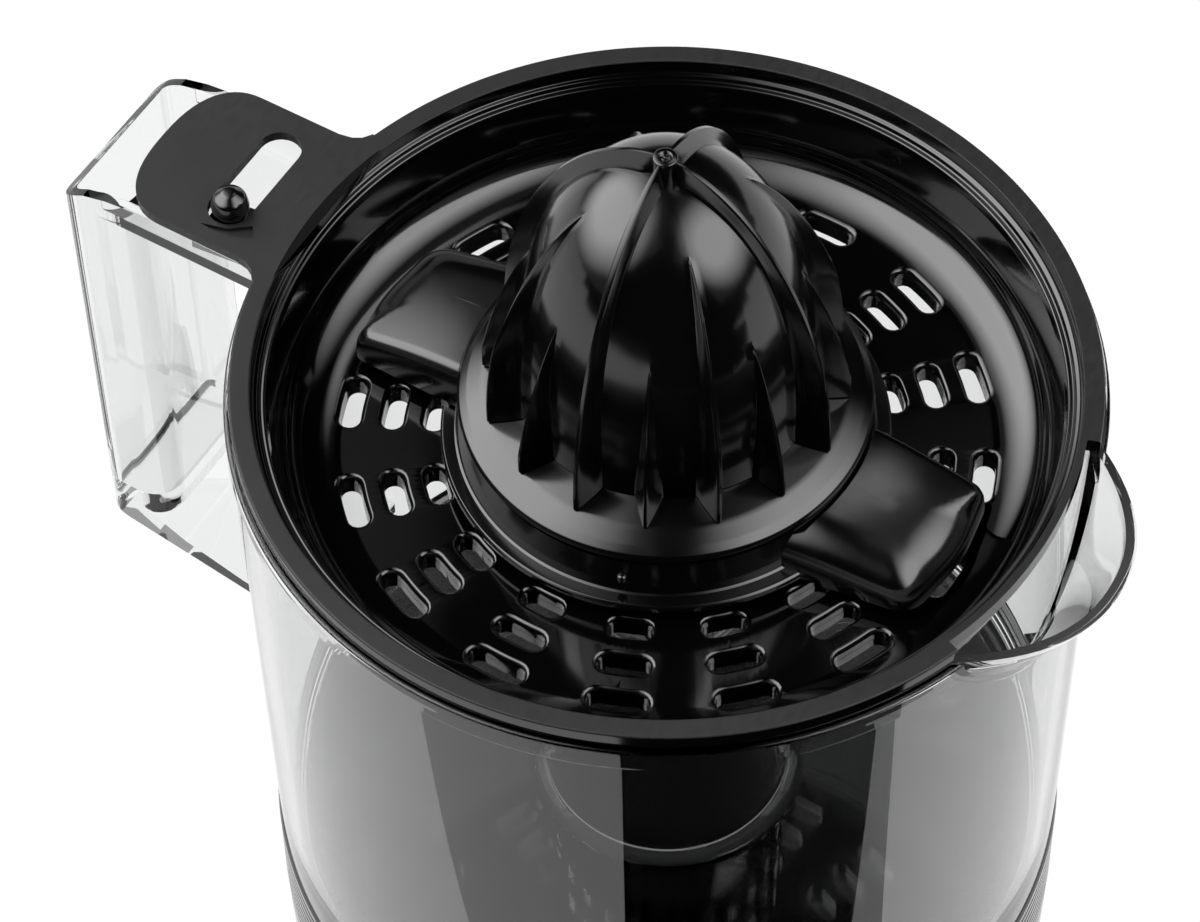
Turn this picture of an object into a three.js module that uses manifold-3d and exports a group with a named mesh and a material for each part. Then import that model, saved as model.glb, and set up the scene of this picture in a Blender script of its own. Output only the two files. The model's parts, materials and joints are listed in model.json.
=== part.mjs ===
// Citrus press juicer: a motor base, a clear jug with a hollow handle, a strainer with a
// pulp shutter, a scraper, a small reaming cone and a large ribbed cone over it.
// Millimetres, +Z up. Everything turns about one vertical axis, the spin axis.
import * as THREE from 'three';
import * as BufferGeometryUtils from 'three/addons/utils/BufferGeometryUtils.js';
import { ConvexGeometry } from 'three/addons/geometries/ConvexGeometry.js';
import Module from 'manifold-3d';

const wasm = await Module();
wasm.setup();

// ---------------------------------------------------------------- driving dimensions

const RIM_R = 80;            // outer radius of the strainer's rim
const RIM_Z = 180;           // top face of the rim above the table
const SEAM_Z = 51;           // joint line between jug and base
const CONE_RISE = 60;        // top of the large cone above the rim
const HANDLE_REACH = 124.4;  // handle's outer face from the spin axis
const SPOUT_REACH = 93;      // spout's tip from the spin axis
const HANDLE_HALF = 17.2;    // half the handle's width
const GAP = 0.3;             // clearance between pieces that rest on each other
const PRESS = 1.6;           // travel of the cone and drive shaft when pressed
const BIG = 48;              // segments round a large turned piece
const MEDIUM = 24;           // segments round a middling one
const SMALL = 12;            // segments round a small one

const SLOT_COLUMNS = 16;     // columns of drain slots round the strainer
const SLOT_PITCH = (2 * Math.PI) / SLOT_COLUMNS;
const SLOT_ROWS = [43.5, 51.3, 59.3];
const SLOT_SPAN = THREE.MathUtils.degToRad(11.4);
const SLOT_WIDTH = 4.4;
const KNOB_R = 90.4;         // knob's distance from the spin axis
const KNOB_TURN = SLOT_PITCH / 4;  // knob's angle from the middle of its slot

const CONE_TURN = THREE.MathUtils.degToRad(2.2);
const RIB_COUNT = 16;

const GEAR_MODULE = 1.5;
const PINION_TEETH = 10;
const IDLER_TEETH = 30;
const OUTPUT_TEETH = 40;
const MOTOR_X = -46;         // motor axis from the spin axis
const SHAFT_R = 4;
const SHAFT_FLAT = 3.2;      // half the distance across the shaft's two flats

// ---------------------------------------------------------------- solids

// A closed manifold from any closed three.js geometry.
function solid(geometry) {
  const bare = geometry.clone();
  for (const name of Object.keys(bare.attributes)) {
    if (name !== 'position') {
      bare.deleteAttribute(name);
    }
  }
  const merged = BufferGeometryUtils.mergeVertices(bare, 1e-4);
  const corner = merged.attributes.position.array;
  const index = merged.index.array;
  const triangles = [];
  let volume = 0;
  for (let i = 0; i < index.length; i += 3) {
    const [a, b, c] = [index[i], index[i + 1], index[i + 2]];
    if (a === b || b === c || c === a) {
      continue;
    }
    triangles.push(a, b, c);
    const p = new THREE.Vector3().fromArray(corner, 3 * a);
    const q = new THREE.Vector3().fromArray(corner, 3 * b);
    const r = new THREE.Vector3().fromArray(corner, 3 * c);
    volume += p.dot(q.cross(r));
  }
  if (volume < 0) {
    triangles.reverse();
  }
  const vertProperties = Float32Array.from(corner);
  const triVerts = Uint32Array.from(triangles);
  return new wasm.Manifold(new wasm.Mesh({ numProp: 3, vertProperties, triVerts }));
}

// Turned about +Z from a profile of [radius, height] points.
function turned(profile, segments = BIG) {
  const points = profile.map(([r, z]) => new THREE.Vector2(r, z));
  if (profile[0][0] > 0) {
    points.push(points[0].clone());
  }
  return solid(new THREE.LatheGeometry(points, segments).rotateX(Math.PI / 2));
}

// A disc or tube between two heights, centred at (x, y).
function post(radius, z0, z1, x = 0, y = 0, segments = SMALL) {
  const cylinder = new THREE.CylinderGeometry(radius, radius, z1 - z0, segments);
  return solid(cylinder.rotateX(Math.PI / 2).translate(x, y, (z0 + z1) / 2));
}

function block(x0, x1, y0, y1, z0, z1) {
  const box = new THREE.BoxGeometry(x1 - x0, y1 - y0, z1 - z0);
  return solid(box.translate((x0 + x1) / 2, (y0 + y1) / 2, (z0 + z1) / 2));
}

// A flat outline drawn in X and Y, raised from z0 to z1.
function slab(shape, z0, z1, curveSegments = 6) {
  const settings = { depth: z1 - z0, bevelEnabled: false, curveSegments };
  return solid(new THREE.ExtrudeGeometry(shape, settings).translate(0, 0, z0));
}

// An outline drawn in X and Z, given a thickness along Y and centred on Y = 0.
function sideways(shape, thickness, curveSegments = 6) {
  const settings = { depth: thickness, bevelEnabled: false, curveSegments };
  const geometry = new THREE.ExtrudeGeometry(shape, settings);
  return solid(geometry.rotateX(Math.PI / 2).translate(0, thickness / 2, 0));
}

function outline(points) {
  return new THREE.Shape(points.map(([x, y]) => new THREE.Vector2(x, y)));
}

function spun(body, angle) {
  return body.rotate([0, 0, THREE.MathUtils.radToDeg(angle)]);
}

function ring(count, make) {
  return Array.from({ length: count }, (_, k) => make((2 * Math.PI * k) / count, k));
}

function geometryOf(body) {
  const mesh = body.getMesh();
  const geometry = new THREE.BufferGeometry();
  geometry.setAttribute('position', new THREE.BufferAttribute(mesh.vertProperties, 3));
  geometry.setIndex(new THREE.BufferAttribute(mesh.triVerts, 1));
  geometry.computeVertexNormals();
  return geometry;
}

// ---------------------------------------------------------------- materials

const finishes = {
  gloss_black: new THREE.MeshStandardMaterial({ color: 0x0b0b0c, roughness: 0.12 }),
  satin_black: new THREE.MeshStandardMaterial({ color: 0x1a1a1b, roughness: 0.4 }),
  clear: new THREE.MeshStandardMaterial({
    color: 0xe9eced, roughness: 0.05, transparent: true, opacity: 0.3,
  }),
  rubber: new THREE.MeshStandardMaterial({ color: 0x161616, roughness: 0.85 }),
  steel: new THREE.MeshStandardMaterial({ color: 0xa6a8ab, roughness: 0.3, metalness: 1 }),
  zinc: new THREE.MeshStandardMaterial({ color: 0xb9bcc0, roughness: 0.4, metalness: 1 }),
  bronze: new THREE.MeshStandardMaterial({ color: 0xb07a3a, roughness: 0.4, metalness: 1 }),
  copper: new THREE.MeshStandardMaterial({ color: 0xb4632c, roughness: 0.35, metalness: 1 }),
  nylon: new THREE.MeshStandardMaterial({ color: 0xe4e1d6, roughness: 0.5 }),
  magnet: new THREE.MeshStandardMaterial({ color: 0x3a3a3d, roughness: 0.6 }),
};

const spinAxis = new THREE.Group();
spinAxis.position.x = (HANDLE_REACH - SPOUT_REACH) / 2;

function piece(name, body, finish) {
  const mesh = new THREE.Mesh(geometryOf(body), finishes[finish]);
  mesh.name = name;
  spinAxis.add(mesh);
}

// ---------------------------------------------------------------- base

const SKIRT_R = 79.7;
const SKIRT_WALL = 2.4;
const DECK_Z = SEAM_Z - GAP;      // top of the deck that the jug stands on
const CEILING_Z = DECK_Z - 2.5;   // underside of the deck
const TOWER_TOP = 149.5;
const BUSH_BORE = 8;              // hole in the tower's top for the upper bush
const COVER_Z = 3;                // underside of the bottom cover
const COVER_R = 76.2;
const PLATE_Z = 32;               // underside of the gearbox plate
const PLATE_TOP = 34;
const SCREW_R = 1.6;
const SCREW_HOLE = 1.9;
const COVER_SCREW_R = 68;
const FOOT_RING_R = 62;
const GLAND_TURN = THREE.MathUtils.degToRad(135);
const GLAND_Z = 15;
const coverScrews = [0, 100, 260].map((degrees) => {
  const a = THREE.MathUtils.degToRad(degrees);
  return [COVER_SCREW_R * Math.cos(a), COVER_SCREW_R * Math.sin(a)];
});
const plateScrews = [[17, -34], [22, 36], [-63, 28]];

function baseHousing() {
  let body = turned([
    [SKIRT_R - 0.6, COVER_Z + 1], [SKIRT_R, DECK_Z - 0.8], [SKIRT_R - 0.8, DECK_Z],
    [24, DECK_Z], [21.4, DECK_Z + 2], [18.4, TOWER_TOP - 2], [16.4, TOWER_TOP],
    [BUSH_BORE, TOWER_TOP], [BUSH_BORE, TOWER_TOP - 10], [15.6, TOWER_TOP - 10],
    [18.8, CEILING_Z + 4], [19.4, CEILING_Z], [SKIRT_R - SKIRT_WALL, CEILING_Z],
    [SKIRT_R - SKIRT_WALL - 0.4, COVER_Z + 1],
  ]);
  for (const [x, y] of coverScrews) {
    body = body.add(post(4, COVER_Z + 3 + GAP, CEILING_Z + 1, x, y));
    body = body.subtract(post(SCREW_HOLE, COVER_Z, 22, x, y));
  }
  for (const [x, y] of plateScrews) {
    body = body.add(post(4, PLATE_TOP + GAP, CEILING_Z + 1, x, y));
    body = body.subtract(post(SCREW_HOLE, PLATE_Z, 44, x, y));
  }
  const hole = post(7.2, SKIRT_R - 8, SKIRT_R + 4).rotate([0, 90, 0]).translate([0, 0, GLAND_Z]);
  return body.subtract(spun(hole, GLAND_TURN));
}

function bottomCover() {
  let body = turned([
    [0, COVER_Z], [COVER_R, COVER_Z], [COVER_R, COVER_Z + 5], [COVER_R - 2, COVER_Z + 5],
    [COVER_R - 2, COVER_Z + 3], [0, COVER_Z + 3],
  ]);
  for (const [x, y] of coverScrews) {
    body = body.subtract(post(SCREW_HOLE, 0, 12, x, y));
    body = body.subtract(post(4.2, 0, COVER_Z + 1.2, x, y));
    body = body.subtract(post(4.3, COVER_Z + 3, 12, x, y));
  }
  for (const [x, y] of feet) {
    body = body.subtract(post(2.8, 0, 12, x, y));
  }
  for (let k = -3; k <= 3; k += 1) {
    body = body.subtract(block(MOTOR_X - 16, MOTOR_X + 16, 5 * k - 1.2, 5 * k + 1.2, 0, 12));
  }
  return body;
}

const feet = ring(4, (a) => [
  FOOT_RING_R * Math.cos(a + Math.PI / 4),
  FOOT_RING_R * Math.sin(a + Math.PI / 4),
]);

function foot(x, y) {
  const pad = turned([
    [0, 0], [7.4, 0], [8, 0.8], [8, COVER_Z - GAP], [2.5, COVER_Z - GAP], [2.5, COVER_Z + 5],
    [0, COVER_Z + 5],
  ], 20);
  return pad.translate([x, y, 0]);
}

// A pan-head screw with its head at the bottom.
function screwUp(x, y, z, length) {
  const shank = [[0, z], [3.6, z], [3.6, z + 1], [SCREW_R, z + 1], [SCREW_R, z + length]];
  const slot = block(-3.2, 3.2, -0.4, 0.4, z - 1, z + 0.6);
  return turned([...shank, [0, z + length]], 12).subtract(slot).translate([x, y, 0]);
}

function cordGland() {
  const body = turned([
    [3.6, SKIRT_R - 6], [6.8, SKIRT_R - 6], [6.8, SKIRT_R + GAP], [8.6, SKIRT_R + GAP],
    [8.2, SKIRT_R + 1.8], [3.6, SKIRT_R + 1.8],
  ], SMALL);
  return spun(body.rotate([0, 90, 0]).translate([0, 0, GLAND_Z]), GLAND_TURN);
}

// ---------------------------------------------------------------- gears and motor

// A spur gear's outline: involute flanks, thinned for backlash.
function gearShape(teeth, backlash = 0.16) {
  const pressure = THREE.MathUtils.degToRad(25);
  const pitchR = (GEAR_MODULE * teeth) / 2;
  const baseR = pitchR * Math.cos(pressure);
  const rootR = pitchR - 1.25 * GEAR_MODULE;
  const tipR = pitchR + 0.85 * GEAR_MODULE;
  const involute = (r) => {
    const t = Math.acos(Math.min(1, baseR / r));
    return Math.tan(t) - t;
  };
  const halfAtPitch = Math.PI / (2 * teeth) - backlash / pitchR;
  const halfAt = (r) => halfAtPitch + involute(pitchR) - involute(Math.max(r, baseR));
  const points = [];
  const midR = (Math.max(baseR, rootR) + tipR) / 2;
  for (let k = 0; k < teeth; k += 1) {
    const centre = (2 * Math.PI * k) / teeth;
    const radii = [rootR, midR, tipR];
    for (const r of radii) {
      const a = centre - halfAt(r) - (r === rootR ? 0.02 : 0);
      points.push([r * Math.cos(a), r * Math.sin(a)]);
    }
    for (const r of radii.reverse()) {
      const a = centre + halfAt(r) + (r === rootR ? 0.02 : 0);
      points.push([r * Math.cos(a), r * Math.sin(a)]);
    }
  }
  return outline(points);
}

const PINION_R = (GEAR_MODULE * PINION_TEETH) / 2;
const IDLER_R = (GEAR_MODULE * IDLER_TEETH) / 2;
const OUTPUT_R = (GEAR_MODULE * OUTPUT_TEETH) / 2;
const MOTOR_REACH = PINION_R + IDLER_R;     // motor axis to idler axis
const OUTPUT_REACH = PINION_R + OUTPUT_R;   // idler axis to spin axis
const IDLER_X = (MOTOR_X ** 2 + OUTPUT_REACH ** 2 - MOTOR_REACH ** 2) / (2 * MOTOR_X);
const IDLER_Y = Math.sqrt(OUTPUT_REACH ** 2 - IDLER_X ** 2);
const IDLER_TURN = Math.atan2(IDLER_Y, IDLER_X);             // idler seen from the spin axis
const MOTOR_TURN = Math.atan2(-IDLER_Y, MOTOR_X - IDLER_X);  // motor seen from the idler

const AXLE_R = 2;
const BORE_GAP = 0.15;
const LOW_GEAR_Z = 36.3;
const HIGH_GEAR_Z = 41.4;
const GEAR_FACE = 4;
const HUB_TOP = 46;

// The shaft's cross-section: a circle with two flats.
function doubleD(radius, flat) {
  const edge = Math.asin(flat / radius);
  const shape = new THREE.Shape();
  shape.absarc(0, 0, radius, -edge, edge, false);
  shape.absarc(0, 0, radius, Math.PI - edge, Math.PI + edge, false);
  return shape;
}

function outputGear() {
  // A gap between two teeth faces the idler's pinion.
  const wheel = slab(gearShape(OUTPUT_TEETH), LOW_GEAR_Z, LOW_GEAR_Z + GEAR_FACE);
  const half = Math.PI / OUTPUT_TEETH;
  const hub = post(SHAFT_R + 4, PLATE_TOP + 1.4, HUB_TOP, 0, 0, MEDIUM);
  const bore = slab(doubleD(SHAFT_R + BORE_GAP, SHAFT_FLAT + BORE_GAP), 20, 60);
  let body = spun(wheel, IDLER_TURN + half).add(hub);
  for (const a of [0, 1, 2, 3, 4, 5]) {
    const turn = (a * Math.PI) / 3;
    body = body.subtract(post(4.4, 30, 50, 18 * Math.cos(turn), 18 * Math.sin(turn), 12));
  }
  return body.subtract(bore);
}

function idlerGear() {
  // The pinion has a tooth facing the output gear; the wheel has a tooth facing the motor.
  const pinion = slab(gearShape(PINION_TEETH), PLATE_TOP + 0.6, HIGH_GEAR_Z + 1);
  const wheel = slab(gearShape(IDLER_TEETH), HIGH_GEAR_Z, HIGH_GEAR_Z + GEAR_FACE);
  const body = spun(pinion, IDLER_TURN + Math.PI).add(spun(wheel, MOTOR_TURN));
  return body.subtract(post(AXLE_R + BORE_GAP, 20, 60)).translate([IDLER_X, IDLER_Y, 0]);
}

function motorPinion() {
  const half = Math.PI / PINION_TEETH;
  const teeth = slab(gearShape(PINION_TEETH), HIGH_GEAR_Z - 0.8, HIGH_GEAR_Z + GEAR_FACE + 0.4);
  const body = spun(teeth, MOTOR_TURN + Math.PI + half);
  return body.subtract(post(1.5 + BORE_GAP, 20, 60)).translate([MOTOR_X, 0, 0]);
}

const CAN_R = 22.4;
const CAN_Z = 10;
const CAN_TOP = PLATE_Z - GAP;
const EAR_Y = 28;

function motorCan() {
  const shell = turned([
    [CAN_R - 1.2, CAN_Z], [CAN_R, CAN_Z], [CAN_R, CAN_TOP], [3.4, CAN_TOP],
    [3.4, CAN_TOP - 1.5], [CAN_R - 1.2, CAN_TOP - 1.5],
  ], MEDIUM);
  const ears = block(-5, 5, -EAR_Y - 5, EAR_Y + 5, CAN_TOP - 1.5, CAN_TOP);
  const keep = ears.subtract(post(CAN_R - 0.6, 0, 50, 0, 0, MEDIUM));
  let body = shell.add(keep);
  for (const y of [-EAR_Y, EAR_Y]) {
    body = body.subtract(post(SCREW_HOLE, 0, 50, 0, y));
  }
  return body.translate([MOTOR_X, 0, 0]);
}

function motorCoil() {
  const body = turned([
    [13.4, CAN_Z + 2], [20.6, CAN_Z + 2], [20.6, CAN_TOP - 3], [13.4, CAN_TOP - 3],
  ], 24);
  return body.translate([MOTOR_X, 0, 0]);
}

function motorEndCap() {
  const body = turned([
    [2, CAN_Z - 2.6], [6, CAN_Z - 2.6], [6, CAN_Z - 1.8], [CAN_R, CAN_Z - 1.8],
    [CAN_R, CAN_Z - GAP], [2, CAN_Z - GAP],
  ], MEDIUM);
  return body.translate([MOTOR_X, 0, 0]);
}

function gearboxPlate() {
  const shape = outline([
    [26, 43], [16, 43], [-24, 40], [-60, 37], [-71, 27], [-71, -20], [-56, -35], [-36, -35],
    [12, -41], [22, -40], [24, -30], [16, -12], [17, 12], [28, 34],
  ]);
  let body = slab(shape, PLATE_Z, PLATE_TOP);
  body = body.subtract(post(7.2, 0, 60, 0, 0, MEDIUM));
  body = body.subtract(post(6, 0, 60, MOTOR_X, 0));
  body = body.subtract(post(AXLE_R + BORE_GAP, 0, 60, IDLER_X, IDLER_Y));
  for (const [x, y] of [...plateScrews, [MOTOR_X, EAR_Y], [MOTOR_X, -EAR_Y]]) {
    body = body.subtract(post(SCREW_HOLE, 0, 60, x, y, 12));
  }
  return body;
}

// A screw with its head on top of the gearbox plate, holding the motor.
function motorScrew(y) {
  const z = PLATE_TOP + GAP;
  const body = turned([
    [0, z - 7], [SCREW_R, z - 7], [SCREW_R, z], [3.2, z], [3.2, z + 1.5], [0, z + 1.5],
  ], 12);
  return body.translate([MOTOR_X, y, 0]);
}

function bush(z0, z1, collarZ0, collarZ1, outer, collar) {
  const bore = SHAFT_R + 0.1;
  if (collarZ0 > z0) {
    const profile = [[bore, z0], [outer, z0], [outer, collarZ0], [collar, collarZ0]];
    return turned([...profile, [collar, collarZ1], [bore, collarZ1]], MEDIUM);
  }
  const profile = [[bore, collarZ0], [collar, collarZ0], [collar, collarZ1]];
  return turned([...profile, [outer, collarZ1], [outer, z1], [bore, z1]], MEDIUM);
}

// ---------------------------------------------------------------- shaft, spring and switch

const SHAFT_FOOT = 20.6;
const SHAFT_HEAD = RIM_Z - 9;
const COLLAR_Z = 58;

class Helix extends THREE.Curve {
  constructor(radius, z0, z1, turns) {
    super();
    Object.assign(this, { radius, z0, z1, turns });
  }

  getPoint(t) {
    const a = 2 * Math.PI * this.turns * t;
    const z = this.z0 + (this.z1 - this.z0) * t;
    return new THREE.Vector3(this.radius * Math.cos(a), this.radius * Math.sin(a), z);
  }
}

function returnSpring() {
  const wire = 0.7;
  const turns = 5;
  const path = new Helix(6.4, HUB_TOP + GAP + wire, COLLAR_Z - GAP - wire, turns);
  const section = outline(ring(5, (a) => [wire * Math.cos(a), wire * Math.sin(a)]));
  const settings = { steps: 12 * turns, bevelEnabled: false, extrudePath: path };
  return solid(new THREE.ExtrudeGeometry(section, settings));
}

function springCollar() {
  const washer = post(8.6, COLLAR_Z, COLLAR_Z + 1.6, 0, 0, 24);
  const bore = slab(doubleD(SHAFT_R + BORE_GAP, SHAFT_FLAT + BORE_GAP), 50, 70);
  return washer.subtract(bore);
}

function switchBody() {
  const z = COVER_Z + 3 + GAP;
  const body = block(-10, 10, -5, 5, z, 16.6).add(block(-14, 14, -3, 3, z, z + 2));
  return body.subtract(post(2.4, 8, 20));
}

// ---------------------------------------------------------------- jug

const JUG_TOP = RIM_Z - 3.2 - GAP;
const JUG_FLOOR = SEAM_Z + 5;
const CHIMNEY_TOP = RIM_Z - 29.5;
const BEAD = 4.8;               // height of the thick band round the jug's mouth
const WALL = 2;                 // handle's and spout's wall
const GRIP_IN = 109.5;          // finger side of the grip from the spin axis
const ARM_DROP = 9.5;           // underside of the handle's top arm below the rim
const GRIP_DROP = 108;          // lowest point of the grip below the rim
const WALL_TOP_DROP = 2.4;      // top edge of the handle's walls, under the tab

function jugBody() {
  return turned([
    [76.4, SEAM_Z], [79.3, SEAM_Z], [80.7, JUG_TOP - BEAD - 0.4], [81.1, JUG_TOP - BEAD],
    [81.1, JUG_TOP], [78.3, JUG_TOP], [78.2, JUG_TOP - BEAD], [76.9, JUG_FLOOR + 4],
    [75.6, JUG_FLOOR + 1.2], [72.4, JUG_FLOOR], [27, JUG_FLOOR], [24.8, JUG_FLOOR + 2],
    [21.9, CHIMNEY_TOP], [19.6, CHIMNEY_TOP], [22.8, SEAM_Z + 2.4], [76.4, SEAM_Z + 2.4],
  ]);
}

// Plan outline of the grip: round corners towards the fingers, small ones outside.
function gripPlan(inset) {
  const x0 = GRIP_IN + inset;
  const x1 = HANDLE_REACH - inset;
  const y = HANDLE_HALF - inset;
  const inner = 9 - inset;
  const outer = 3 - inset / 2;
  const shape = new THREE.Shape();
  shape.moveTo(-x0, y - inner);
  shape.lineTo(-x0, -y + inner);
  shape.absarc(-x0 - inner, -y + inner, inner, 0, -Math.PI / 2, true);
  shape.lineTo(-x1 + outer, -y);
  shape.absarc(-x1 + outer, -y + outer, outer, -Math.PI / 2, -Math.PI, true);
  shape.lineTo(-x1, y - outer);
  shape.absarc(-x1 + outer, y - outer, outer, Math.PI, Math.PI / 2, true);
  shape.lineTo(-x0 - inner, y);
  shape.absarc(-x0 - inner, y - inner, inner, Math.PI / 2, 0, true);
  return shape;
}

// Everything above the arched top edge of the handle's walls.
function aboveHandle() {
  const z = RIM_Z - WALL_TOP_DROP;
  const shape = new THREE.Shape();
  shape.moveTo(-60, z);
  shape.lineTo(-104, z);
  shape.quadraticCurveTo(-116, z - 0.4, -HANDLE_REACH - 2, z - 5.6);
  shape.lineTo(-HANDLE_REACH - 2, z + 20);
  shape.lineTo(-60, z + 20);
  return sideways(shape, 60);
}

function bottomPlate() {
  const drop = RIM_Z - GRIP_DROP;
  const shape = new THREE.Shape();
  shape.moveTo(-HANDLE_REACH, drop + 12);
  shape.lineTo(-HANDLE_REACH, drop + 5);
  shape.quadraticCurveTo(-HANDLE_REACH, drop, -119, drop - 0.6);
  shape.lineTo(-78.4, drop - 8.6);
  shape.lineTo(-78.4, drop - 5.9);
  shape.lineTo(-106, drop + 0.8);
  shape.quadraticCurveTo(-117, drop + 3.6, -116, drop + 12);
  return sideways(shape, 2 * HANDLE_HALF);
}

function spout(inset) {
  const reach = SPOUT_REACH - inset;
  const half = 27.5 - inset;
  const points = [];
  for (let k = -6; k <= 6; k += 1) {
    const y = (half * k) / 6;
    const x = reach - 16.5 * Math.abs(k / 6) ** 2.1;
    points.push(new THREE.Vector3(x, y, JUG_TOP + (inset > 0 ? 2 : 0)));
    points.push(new THREE.Vector3(x - 3.4, y * 0.9, JUG_TOP - 8 + inset / 2));
  }
  points.push(new THREE.Vector3(76, 0, JUG_TOP - 30 + 2 * inset));
  points.push(new THREE.Vector3(80.3 - inset, 0, JUG_TOP - 26 + inset));
  points.push(new THREE.Vector3(70, half, JUG_TOP + (inset > 0 ? 2 : 0)));
  points.push(new THREE.Vector3(70, -half, JUG_TOP + (inset > 0 ? 2 : 0)));
  return solid(new ConvexGeometry(points));
}

function jug() {
  const armZ = RIM_Z - ARM_DROP;
  const inside = post(77.4, JUG_FLOOR + 10, RIM_Z + 10, 0, 0, BIG);
  const arm = block(-GRIP_IN - 6, -78, -HANDLE_HALF, HANDLE_HALF, armZ, RIM_Z);
  const grip = slab(gripPlan(0), RIM_Z - GRIP_DROP + 6, RIM_Z);
  let body = grip.add(arm).add(bottomPlate()).subtract(inside);
  body = body.subtract(aboveHandle());
  const half = HANDLE_HALF - WALL;
  body = body.add(jugBody()).add(spout(0).subtract(inside));
  body = body.subtract(block(-GRIP_IN - 6, -70, -half, half, armZ + WALL, RIM_Z + 10));
  body = body.subtract(slab(gripPlan(WALL), RIM_Z - GRIP_DROP + 10, RIM_Z + 10));
  body = body.subtract(post(RIM_R + 0.4, JUG_TOP, RIM_Z + 10, 0, 0, BIG));
  return body.subtract(spout(WALL));
}

// ---------------------------------------------------------------- strainer and pulp shutter

const FLOOR_DROP = 20;          // strainer's floor below its rim
const TAB_THICK = 2.1;

function strainerBowl() {
  const profile = [
    [8.8, -26], [8.8, -11.2], [12.4, -11.2], [12.4, -18.6], [13.5, -20], [65, -20],
    [69, -15.4], [73.6, -4], [75.8, -2.3], [76.2, 0], [RIM_R, 0], [RIM_R, -3.2],
    [77.2, -3.2], [75.8, -5.2], [71.3, -16], [65.6, -22], [25.8, -22], [25.6, -33],
    [23.6, -33], [23.6, -22.4], [13, -22.4], [11.4, -26],
  ];
  return turned(profile.map(([r, drop]) => [r, RIM_Z + drop]));
}

// One drain slot: a short arc with chamfered ends, for cutting through a floor.
function slotCutter(radius, turn, z0, z1) {
  const w = SLOT_WIDTH / 2;
  const ends = [[-1, -0.4], [-0.8, -1], [0.8, -1], [1, -0.4], [1, 0.4], [0.8, 1], [-0.8, 1],
    [-1, 0.4]];
  const points = ends.map(([along, across]) => {
    const a = turn + (along * SLOT_SPAN) / 2;
    const r = radius + across * w;
    return [r * Math.cos(a), r * Math.sin(a)];
  });
  return slab(outline(points), z0, z1);
}

function withSlots(body, z0, z1) {
  const cutters = SLOT_ROWS.flatMap((r) => ring(SLOT_COLUMNS, (a) => slotCutter(r, a, z0, z1)));
  return body.subtract(wasm.Manifold.union(cutters));
}

function tabShape() {
  const half = HANDLE_HALF + 0.15;
  const shape = new THREE.Shape();
  shape.moveTo(-76.6, half + 4);
  shape.lineTo(-77.3, half + 4);
  shape.quadraticCurveTo(-79, half, -83, half);
  shape.lineTo(-100, half);
  shape.bezierCurveTo(-107.5, half, -111.6, 9, -111.6, 0);
  shape.bezierCurveTo(-111.6, -9, -107.5, -half, -100, -half);
  shape.lineTo(-83, -half);
  shape.quadraticCurveTo(-79, -half, -77.3, -half - 4);
  shape.lineTo(-76.6, -half - 4);
  const slotHalf = 4.3;
  const slotReach = 12.6 - slotHalf;
  const hole = new THREE.Path();
  hole.absarc(-90.5, slotReach, slotHalf, 0, Math.PI, false);
  hole.absarc(-90.5, -slotReach, slotHalf, Math.PI, 2 * Math.PI, false);
  shape.holes.push(hole);
  return shape;
}

function strainer() {
  const z0 = RIM_Z - TAB_THICK;
  const notch = [];
  for (let k = -4; k <= 4; k += 1) {
    const a = THREE.MathUtils.degToRad(4.85 * k);
    notch.push([(RIM_R + 3) * Math.cos(a), (RIM_R + 3) * Math.sin(a)]);
  }
  for (let k = 4; k >= -4; k -= 1) {
    const a = THREE.MathUtils.degToRad(4.85 * k);
    notch.push([77.4 * Math.cos(a), 77.4 * Math.sin(a)]);
  }
  let body = strainerBowl().add(slab(tabShape(), z0, RIM_Z));
  body = body.subtract(slab(outline(notch), RIM_Z - 10, RIM_Z + 5));
  return withSlots(body, RIM_Z - 30, RIM_Z - 10);
}

// The shutter: a slotted disc under the floor, and an arm that climbs outside the bowl.
function pulpShutter() {
  const z = RIM_Z;
  const disc = turned([
    [27, z - 24], [66, z - 24], [65, z - 22.5], [27, z - 22.5],
  ]);
  const cup = turned([
    [62, z - 22.5], [65.7, z - 22.5], [69.3, z - 20.6], [72, z - 16.2], [76.3, z - 5],
    [77, z - 4.6], [95.6, z - 4.6], [95.6, z - 6.2], [77.6, z - 6.2], [73.4, z - 16.7],
    [70.3, z - 21.8], [66, z - 24], [62, z - 24],
  ]);
  const arm = spun(cup.intersect(block(-120, -50, -5.4, 5.4, z - 40, z)), KNOB_TURN);
  return withSlots(disc, z - 30, z - 10).add(arm);
}

function pulpKnob() {
  const body = turned([
    [0, -4.3], [1.9, -4.3], [1.9, 0.6], [3, 1.5], [3.35, 3.2], [3, 4.9], [1.7, 6.2], [0, 6.6],
  ], SMALL);
  return spun(body.translate([-KNOB_R, 0, RIM_Z]), KNOB_TURN);
}

// ---------------------------------------------------------------- scraper and cones

const PADDLE_BACK = -17;        // trailing edge, at the scraper's skirt
const PADDLE_FRONT = 15.5;      // leading edge
const HUB_KEY = 11.4;           // reach of the small cone's two driving keys

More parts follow.
